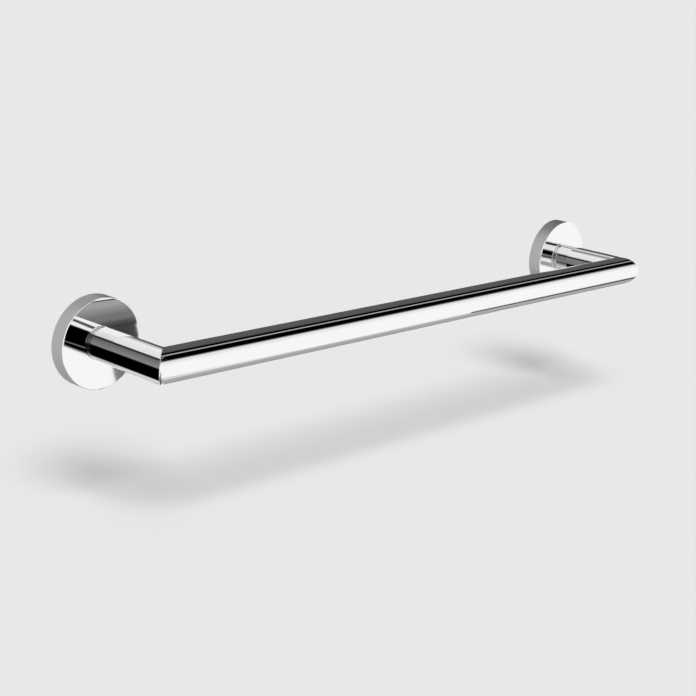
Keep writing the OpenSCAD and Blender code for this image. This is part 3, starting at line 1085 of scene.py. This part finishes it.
class RAIL_OT_stage(bpy.types.Operator):
    """Adds the floor, the soft light, the flags that the metal mirrors, and the camera"""
    bl_idname = "towel_rail.stage"
    bl_label = "Stage"

    def execute(self, context):
        settings = context.scene.stage_settings
        context.scene.view_settings.view_transform = "Standard"
        self.add_floor(settings)
        self.add_light(settings)
        # A near flag shows only where an arm and a face mirror it one after the other
        finishes = {"far": flag_finish("far flag", 1), "near": flag_finish("near flag", 2)}
        for name, (_, distance, *_) in FLAGS.items():
            add_flag(name, finishes[distance], getattr(settings, distance))
        add_front_flag(finishes["near"], settings.near)
        self.add_camera(context)
        return {"FINISHED"}

    @staticmethod
    def add_floor(settings):
        """A plain pale floor that gloss doesn't mirror, because the room's tone holds the ground for it."""
        corners = [(-1, -1), (1, -1), (1, 1), (-1, 1)]
        mesh = bpy.data.meshes.new("floor")
        mesh.from_pydata([(x * FLOOR_HALF, y * FLOOR_HALF, settings.floor_level) for x, y in corners], [],
                         [(0, 1, 2, 3)])
        finish = Finish("floor")
        mottle = finish.noise(3, 4)
        plain = finish.add("ShaderNodeBsdfDiffuse", {}, {
            "Color": finish.blend(mottle, scaled(settings.floor, 0.98), settings.floor)})
        finish.add("ShaderNodeOutputMaterial", {}, {"Surface": plain})
        mesh.materials.append(finish.material)
        floor = linked("floor", mesh)
        floor.visible_glossy = False

    @staticmethod
    def add_light(settings):
        """Even daylight and a soft key light. The camera and the gloss see other tones of the world."""
        world = bpy.data.worlds.new("studio")
        bpy.context.scene.world = world
        world.use_nodes = True
        world.node_tree.nodes.clear()
        board = Board(world.node_tree)
        path = board.tree.nodes.new("ShaderNodeLightPath")
        seen, mirrored = (Socket(board, path.outputs[name]) for name in ("Is Camera Ray", "Is Glossy Ray"))
        strength = seen * settings.backdrop + mirrored * room_tone(board)
        strength = strength + (1 - seen - mirrored).clamped() * settings.daylight
        light = board.add("ShaderNodeBackground", {}, {"Color": (1, 1, 1, 1), "Strength": strength})
        board.add("ShaderNodeOutputWorld", {}, {"Surface": light})
        lamp = bpy.data.lights.new("key light", "SUN")
        lamp.angle = KEY_ANGLE
        lamp.energy = settings.key_strength
        key = linked("key light", lamp)
        key.location = KEY_PLACE
        key.rotation_mode = "QUATERNION"
        key.rotation_quaternion = (KEY_AIM - KEY_PLACE).to_track_quat("-Z", "Y")
        key.visible_glossy = False

    @staticmethod
    def add_camera(context):
        """The camera, with its axes as the columns of its turn."""
        lens = bpy.data.cameras.new("camera")
        lens.sensor_width = FILM_WIDTH
        lens.lens = LENS
        turn = Matrix((CAMERA_RIGHT, CAMERA_UP, CAMERA_RIGHT.cross(CAMERA_UP))).transposed()
        view = linked("camera", lens)
        view.matrix_world = Matrix.Translation(CAMERA_PLACE) @ turn.to_4x4()
        context.scene.camera = view


class RAIL_PT_panel(bpy.types.Panel):
    """Sizes, finishes and pieces of the towel rail"""
    bl_idname = "RAIL_PT_panel"
    bl_label = "Towel Rail"
    bl_space_type = "VIEW_3D"
    bl_region_type = "UI"
    bl_category = "Towel Rail"

    def draw(self, context):
        layout = self.layout
        for group_name in GROUPS:
            group = getattr(context.scene, group_name)
            box = layout.box()
            box.label(text=group_name.replace("_", " ").capitalize())
            for key in group.__annotations__:
                box.prop(group, key)
        for operator in OPERATORS:
            layout.operator(operator.bl_idname)


GROUPS = {
    "rail_sizes": RailSizes,
    "rosette_sizes": RosetteSizes,
    "fixing_sizes": FixingSizes,
    "finish_colours": FinishColours,
    "stage_settings": StageSettings,
}
OPERATORS = (
    RAIL_OT_stage,
    RAIL_OT_bar,
    RAIL_OT_arms,
    RAIL_OT_rosettes,
    RAIL_OT_plugs,
    RAIL_OT_arm_screws,
    RAIL_OT_flat_washers,
    RAIL_OT_lock_washers,
    RAIL_OT_grub_screws,
    RAIL_OT_brackets,
    RAIL_OT_corner_keys,
)


def register():
    for group_name, group in GROUPS.items():
        bpy.utils.register_class(group)
        setattr(bpy.types.Scene, group_name, PointerProperty(type=group))
    for operator in OPERATORS:
        bpy.utils.register_class(operator)
    bpy.utils.register_class(RAIL_PT_panel)


def unregister():
    bpy.utils.unregister_class(RAIL_PT_panel)
    for operator in reversed(OPERATORS):
        bpy.utils.unregister_class(operator)
    for group_name, group in reversed(GROUPS.items()):
        delattr(bpy.types.Scene, group_name)
        bpy.utils.unregister_class(group)


def main():
    """Builds everything."""
    register()
    for operator in OPERATORS:
        group, name = operator.bl_idname.split(".")
        getattr(getattr(bpy.ops, group), name)()


if __name__ == "__main__":
    main()
